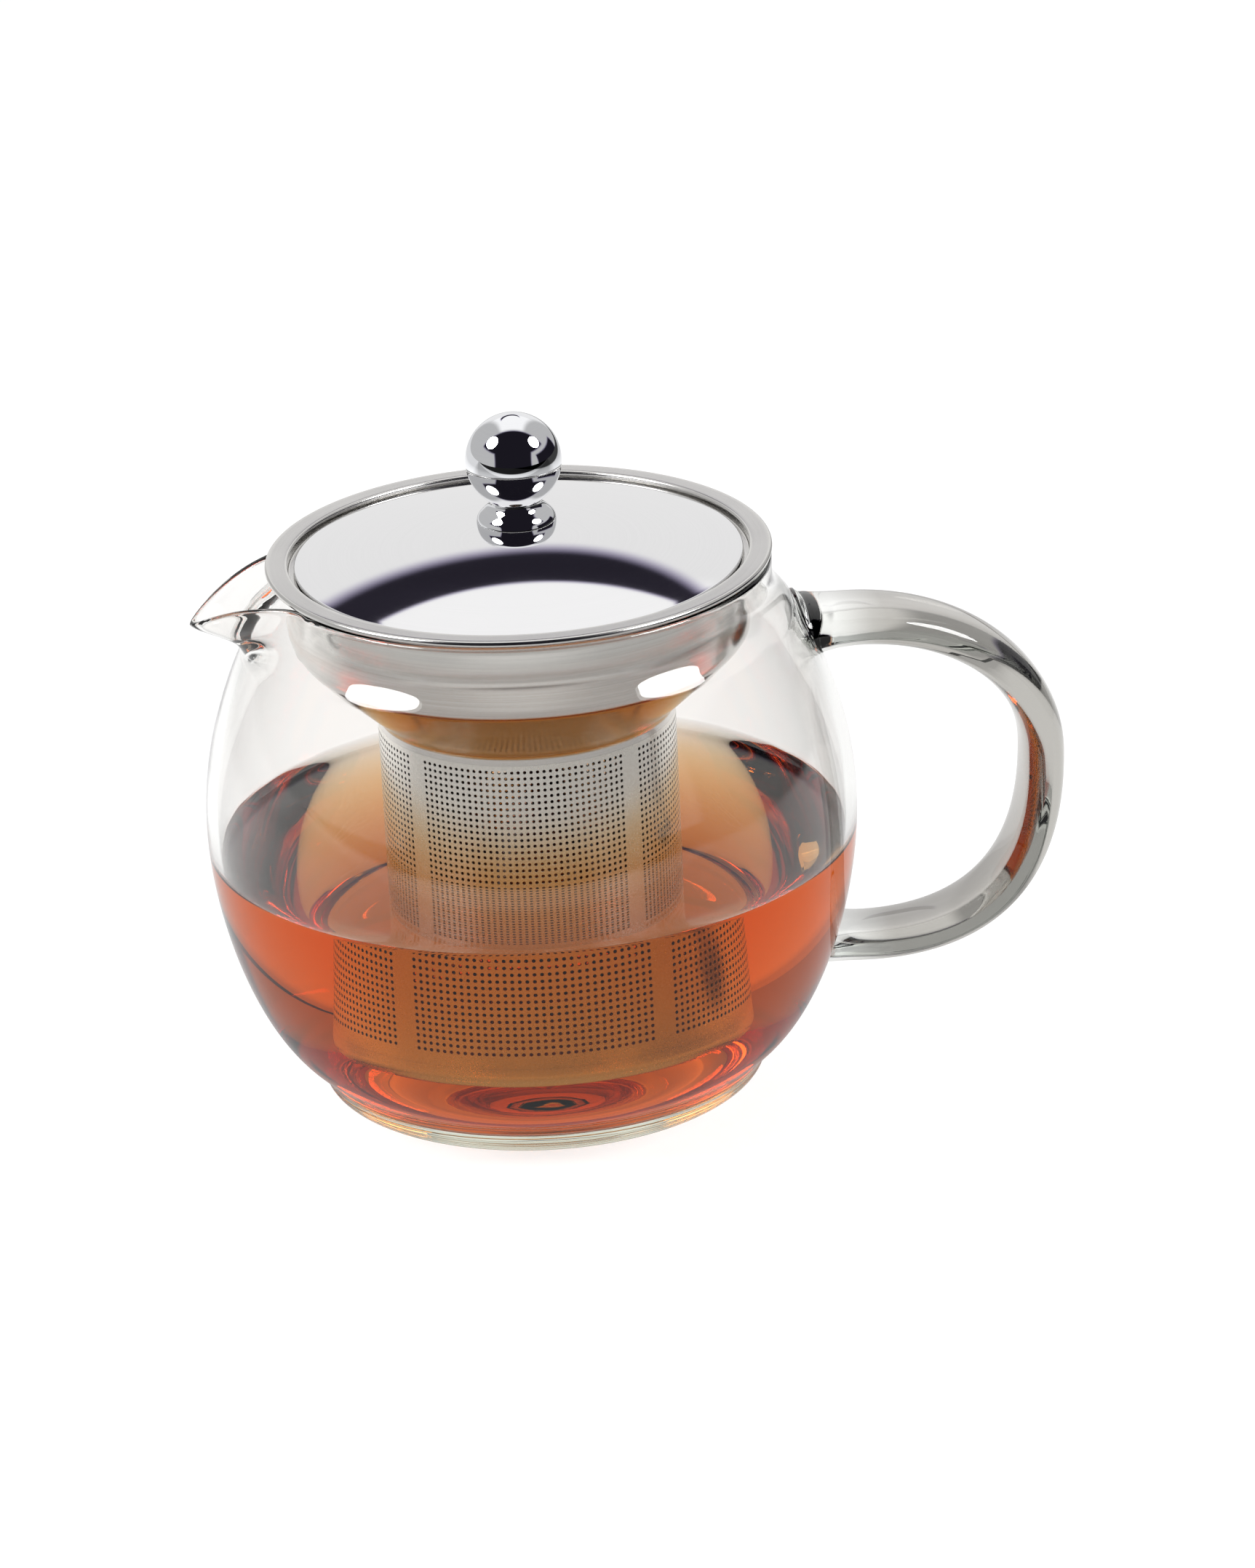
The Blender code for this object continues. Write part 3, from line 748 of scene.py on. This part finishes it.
def build_cup():
    """The pressed bottom of the basket, with a round corner."""
    centre = (SLEEVE_RADIUS - CUP_ROUND, CUP_LOW + CUP_ROUND)
    inside = SLEEVE_RADIUS - SLEEVE_SHEET
    outline = [(SLEEVE_RADIUS, SLEEVE_LOW - SEAM)]
    outline += arc(centre, CUP_ROUND, 0, -90, 14)
    outline += line((centre[0], CUP_LOW), (0.0, CUP_LOW), 10)[1:]
    outline += line((0.0, CUP_LOW + SLEEVE_SHEET), (centre[0], CUP_LOW + SLEEVE_SHEET), 10)[:-1]
    outline += arc(centre, CUP_ROUND - SLEEVE_SHEET, -90, 0, 14)
    outline += [(inside, SLEEVE_LOW - SEAM)]
    turned("cup", outline, SMALL_TURNS, True, "infuser", "cup_steel", CUP_STEEL,
           replaces=("infuser_cup",))


# ---- lid ----------------------------------------------------------------------------------
def dome(radius):
    """Height of the lid's top face at a distance from the axis."""
    return LID_EDGE_Z + LID_CROWN * (1 - (radius / LID_RADIUS) ** 2)


def build_lid():
    """The domed steel lid with its rounded edge and the hole for the screw."""
    edge_radius = LID_RADIUS - LID_SHEET / 2
    radii = np.linspace(SCREW_HOLE, edge_radius, 44)
    top = [(r, dome(r)) for r in radii]
    edge_z = dome(edge_radius) - LID_SHEET / 2
    edge = arc((edge_radius, edge_z), LID_SHEET / 2, 75, -75, 8)
    under = [(r, dome(r) - LID_SHEET) for r in reversed(radii)]
    turned("lid", top + edge + under, TURNS, True, "lid", "lid_steel", LID_STEEL,
           replaces=("lid_disc",))


def build_skirt():
    """The locating ring under the lid, with a rolled lower edge."""
    outer = skirt_high.x
    inside = outer - SHEET
    top = dome(outer) - LID_SHEET - 0.00005
    low = skirt_low.z
    outline = line((outer, top), (outer, low + SHEET), 6)
    outline += arc((outer - SHEET / 2, low + SHEET / 2), SHEET / 2, 0, -180, 10)
    outline += line((inside, low + SHEET), (inside, top), 6)
    turned("skirt", outline, SMALL_TURNS, True, "lid", "skirt_steel", SKIRT_STEEL,
           replaces=("lid_skirt",))


def build_knob():
    """A ball on a waisted foot, turned from one piece."""
    waist = (KNOB_NECK_RADIUS, 0.1209)
    join = 55.0
    ball_join = (BALL_RADIUS * math.cos(math.radians(-join)),
                 BALL_Z + BALL_RADIUS * math.sin(math.radians(-join)))
    widest = (KNOB_BASE_RADIUS, KNOB_FOOT_Z + 0.0036)
    outline = arc((0.0, BALL_Z), BALL_RADIUS, 90, -join, 70)
    outline[0] = (0.0, BALL_Z + BALL_RADIUS)
    outline += bezier(ball_join, (ball_join[0] - 0.0003, ball_join[1] - 0.0002),
                      (waist[0], waist[1] + 0.0003), waist, 8)[1:]
    outline += bezier(waist, (waist[0], waist[1] - 0.0016),
                      (widest[0], widest[1] + 0.0022), widest, 20)[1:]
    outline += bezier(widest, (widest[0], widest[1] - 0.0020),
                      (KNOB_FOOT_RADIUS + 0.0008, KNOB_FOOT_Z), (KNOB_FOOT_RADIUS, KNOB_FOOT_Z), 14)[1:]
    bore_top = KNOB_FOOT_Z + 0.0083
    outline += [(SCREW_HOLE, KNOB_FOOT_Z), (SCREW_HOLE, bore_top), (0.0, bore_top + 0.0010)]
    knob = turned("ball_knob", outline, KNOB_TURNS, False, "lid", "knob_chrome", CHROME,
                  replaces=("knob",), crease_deg=50.0)
    knob.visible_glossy = False      # the lid doesn't mirror the knob


def finish_fasteners():
    """The screw and the washer keep their CAD shapes and get their own steel."""
    for name, mat in (("knob_screw", SCREW_STEEL), ("knob_washer", WASHER_STEEL)):
        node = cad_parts[name]
        node.material_slots[0].material = mat
        node.visible_glossy = False


# ---- studio -------------------------------------------------------------------------------
VIEW_AZIMUTH = math.radians(-8.0)    # the camera stands a little towards the spout
COS = math.cos(VIEW_AZIMUTH)
SIN = math.sin(VIEW_AZIMUTH)
RIGHT = (COS, SIN, 0.0)              # as the camera sees it
AWAY = (-SIN, COS, 0.0)


def build_floor():
    """A plain pale table top. Mirrors and glass see painted light and shade on it: shaded in front and
    ending, as a table does.
    """
    rings = [(r, 0.0) for r in (0.0, 0.2, 0.5, 1.2, 3.0, 8.0, 20.0)]
    verts, faces = turned_arrays(rings, 64, False)
    mesh = bpy.data.meshes.new("floor")
    mesh.from_pydata(verts, [], faces)
    n = Nodes("floor_paper")
    n.set(Roughness=0.9, Specular_IOR_Level=0.0, Emission_Color=(1.0, 1.0, 1.0, 1.0))
    coords, x, y, _, radius = n.position()
    direct = n.add("ShaderNodeLightPath").outputs["Is Camera Ray"]
    n.join(n.mix(direct, (0.0, 0.0, 0.0), (0.28, 0.28, 0.28)), n.bsdf.inputs["Base Color"])
    towards = n.total(n.product(y, -COS), n.product(x, SIN))
    right = n.total(n.product(x, COS), n.product(y, SIN))
    # painted light and shade that mirrors and glass see on the table: darker in front of the pot and
    # under it, a lit strip further out, dimmer far away, brighter on the left, dark far to the right
    # and where the table ends
    near = n.total(n.ramp(towards, -0.14, 0.0, 1.0, 0.55), n.ramp(towards, 0.26, 0.30, 0.0, 0.30))
    painted_floor_light = n.product(near,
                     n.ramp(towards, 0.44, 0.50, 1.0, 0.02),
                     n.ramp(radius, 0.045, 0.070, 0.85, 1.0),
                     n.ramp(radius, 0.32, 0.60, 1.0, 0.66),
                     n.ramp(right, -0.3, 0.3, 1.16, 0.94),
                     n.ramp(right, 0.52, 0.62, 1.0, 0.08))
    paper = n.ramp(n.noise(coords, 260.0, 2.0), 0.3, 0.7, 0.79, 0.81)
    glow = n.total(n.product(direct, paper), n.product(n.maths("SUBTRACT", 1.0, direct), painted_floor_light))
    n.join(glow, n.bsdf.inputs["Emission Strength"])
    mesh.materials.append(n.mat)
    floor = linked("floor", mesh)
    floor.location.z = -0.00015      # a film of air under the foot, as on a real table


def build_camera():
    """A long lens, looking down on the pot."""
    distance = 1.3639
    elevation = math.radians(22.42)
    roll = math.radians(-2.73)
    side, lift = 0.0192, 0.0022
    back = Vector((SIN * math.cos(elevation), -COS * math.cos(elevation), math.sin(elevation)))
    right = Vector(RIGHT)
    up = back.cross(right)
    right, up = (right * math.cos(roll) + up * math.sin(roll),
                 up * math.cos(roll) - right * math.sin(roll))
    data = bpy.data.cameras.new("camera")
    data.lens = 156.8
    data.sensor_width = 36.0
    data.clip_end = 50.0
    camera = linked("camera", data)
    place = Vector((0, 0, 0.058)) + right * side + up * lift + back * distance
    camera.matrix_world = Matrix.Translation(place) @ Matrix((right, up, back)).transposed().to_4x4()
    bpy.context.scene.camera = camera


def add_lamp(name, direction, size, power):
    """A round soft lamp that faces the pot. direction is (right, away, up) from the camera's side."""
    d = Vector(RIGHT) * direction[0] + Vector(AWAY) * direction[1] + Vector((0, 0, direction[2]))
    d.normalize()
    data = bpy.data.lights.new(name, "AREA")
    data.shape = "DISK"
    data.size = size
    data.energy = power
    lamp = linked(name, data)
    lamp.location = Vector((0, 0, 0.08)) + d
    lamp.rotation_euler = (-d).to_track_quat("-Z", "Y").to_euler()


def build_world():
    """White where the camera sees it directly. Mirrors and glass see a studio with dark gaps."""
    world = bpy.data.worlds.new("studio")
    bpy.context.scene.world = world
    world.use_nodes = True
    w = Tree(world.node_tree)
    w.tree.nodes.clear()
    coords = w.add("ShaderNodeTexCoord").outputs["Generated"]

    def above(value, low, high):
        """0 below the first number, 1 above the second and a smooth step between them."""
        return w.ramp(value, low, high, interpolation_type="SMOOTHSTEP")

    def below(value, low, high):
        """1 below the first number, 0 above the second and a smooth step between them."""
        return above(w.product(value, -1), -high, -low)

    def along(direction):
        node = w.add("ShaderNodeVectorMath", operation="DOT_PRODUCT")
        w.join(coords, node.inputs[0])
        node.inputs[1].default_value = direction
        return node.outputs["Value"]

    def either(first, second):
        return w.maths("MAXIMUM", first, second)

    right, away, up = along(RIGHT), along(AWAY), along((0, 0, 1))
    side = w.maths("ABSOLUTE", right)
    # the unlit room behind the camera and overhead
    room = w.product(below(side, 0.66, 0.73), below(away, -0.50, -0.40), above(up, -0.32, -0.26))
    overhead = w.product(above(up, 0.42, 0.50), below(away, 0.0, 0.10))
    # a black screen on the right
    screen = w.product(above(right, 0.74, 0.80), above(up, -0.22, -0.17), below(up, 0.28, 0.36),
                       above(away, -0.50, -0.44))
    # a dark gap between the back wall and the white ceiling
    bent = w.maths("SUBTRACT", up, w.product(right, right, 3.9))
    leaning = w.maths("SUBTRACT", bent, w.product(w.maths("MAXIMUM", right, 0.0), right, 4.2))
    gap = w.product(above(leaning, 0.362, 0.412), below(bent, 0.488, 0.500), above(away, 0.5, 0.6),
                    below(side, 0.20, 0.26))
    dark = either(either(room, overhead), either(screen, gap))
    # the middle of the back wall is brighter than the sides, and the ceiling over it is white
    middle = w.product(below(side, 0.28, 0.45), above(away, 0.0, 0.2))
    wall = w.total(0.52, w.product(0.38, middle), w.product(0.15, above(up, 0.45, 0.50), middle))
    light = w.product(wall, w.maths("SUBTRACT", 1.0, w.product(dark, 0.975)))
    studio = w.add("ShaderNodeBackground")
    w.join(w.mix(dark, (0.99, 0.985, 0.98), (0.85, 0.75, 1.15)), studio.inputs["Color"])
    w.join(light, studio.inputs["Strength"])
    plain = w.add("ShaderNodeBackground", Color=(1.0, 1.0, 1.0, 1.0))
    mix = w.add("ShaderNodeMixShader")
    w.join(w.add("ShaderNodeLightPath").outputs["Is Camera Ray"], mix.inputs[0])
    w.join(studio.outputs[0], mix.inputs[1])
    w.join(plain.outputs[0], mix.inputs[2])
    w.join(mix.outputs[0], w.add("ShaderNodeOutputWorld").inputs["Surface"])


def build_studio():
    """Floor, camera, lamps and surroundings."""
    build_floor()
    build_camera()
    build_world()
    add_lamp("lamp_left", (-0.665, -0.153, 0.731), 0.46, 9.5)
    add_lamp("lamp_right", (0.701, -0.162, 0.695), 0.42, 7.8)
    scene = bpy.context.scene
    scene.view_settings.view_transform = "Standard"
    scene.cycles.sample_clamp_indirect = 4.0
    scene.cycles.max_bounces = 64    # light runs round inside the glass many times
    scene.cycles.transmission_bounces = 64
    scene.cycles.glossy_bounces = 8
    scene.cycles.transparent_max_bounces = 16


# ---- build --------------------------------------------------------------------------------
build_glass()
build_tea()
build_collar()
build_sleeve()
build_cup()
build_lid()
build_skirt()
build_knob()
finish_fasteners()
build_studio()
